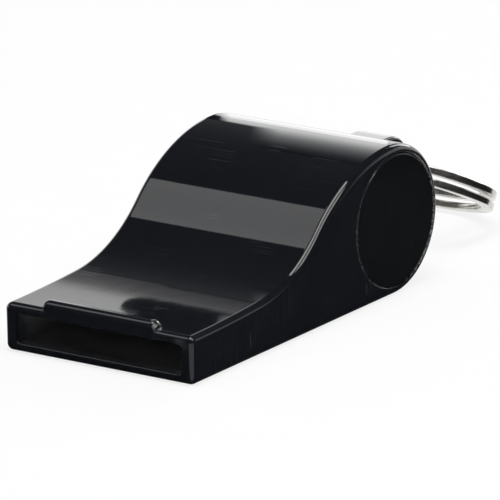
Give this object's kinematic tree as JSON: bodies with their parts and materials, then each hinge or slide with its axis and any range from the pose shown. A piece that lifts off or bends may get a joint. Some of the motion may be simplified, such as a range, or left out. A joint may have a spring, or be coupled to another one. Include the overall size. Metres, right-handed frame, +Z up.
{
  "type": "pea whistle",
  "caption": "Moulded pea whistle with a flat mouthpiece, a round barrel closed by end caps, a loose cork pea inside and a split ring hanging from the lug behind the barrel.",
  "frame": {"origin": "on the flat face that the whistle lies on, in the middle of its width and halfway between the mouth and the sound window", "axes": "+Y from the mouth towards the barrel and the ring, +Z up out of the flat face, +X along the barrel's axis towards the cap that the picture shows"},
  "size_m": [0.024, 0.0673, 0.0164],
  "materials": {
    "body_plastic": "moulded black plastic, high gloss",
    "cap_plastic": "moulded black plastic, gloss",
    "cork": "natural cork, matte",
    "nickel": "nickel-plated steel wire, bright"
  },
  "bodies": {
    "whistle": {"whistle_body": "body_plastic", "right_end_cap": "cap_plastic", "left_end_cap": "cap_plastic"},
    "pea": {"pea": "cork"},
    "ring": {"split_ring": "nickel"}
  },
  "joints": [
    {"name": "pea_orbit", "type": "hinge", "parent": "whistle", "child": "pea", "pos_m": [0, 0.02084, 0.0082], "axis": [1, 0, 0], "continuous": true},
    {"name": "ring_swing", "type": "hinge", "parent": "whistle", "child": "ring", "pos_m": [0, 0.03448, 0.0094], "axis": [1, 0, 0], "range_deg": [-92, 152]}
  ]
}
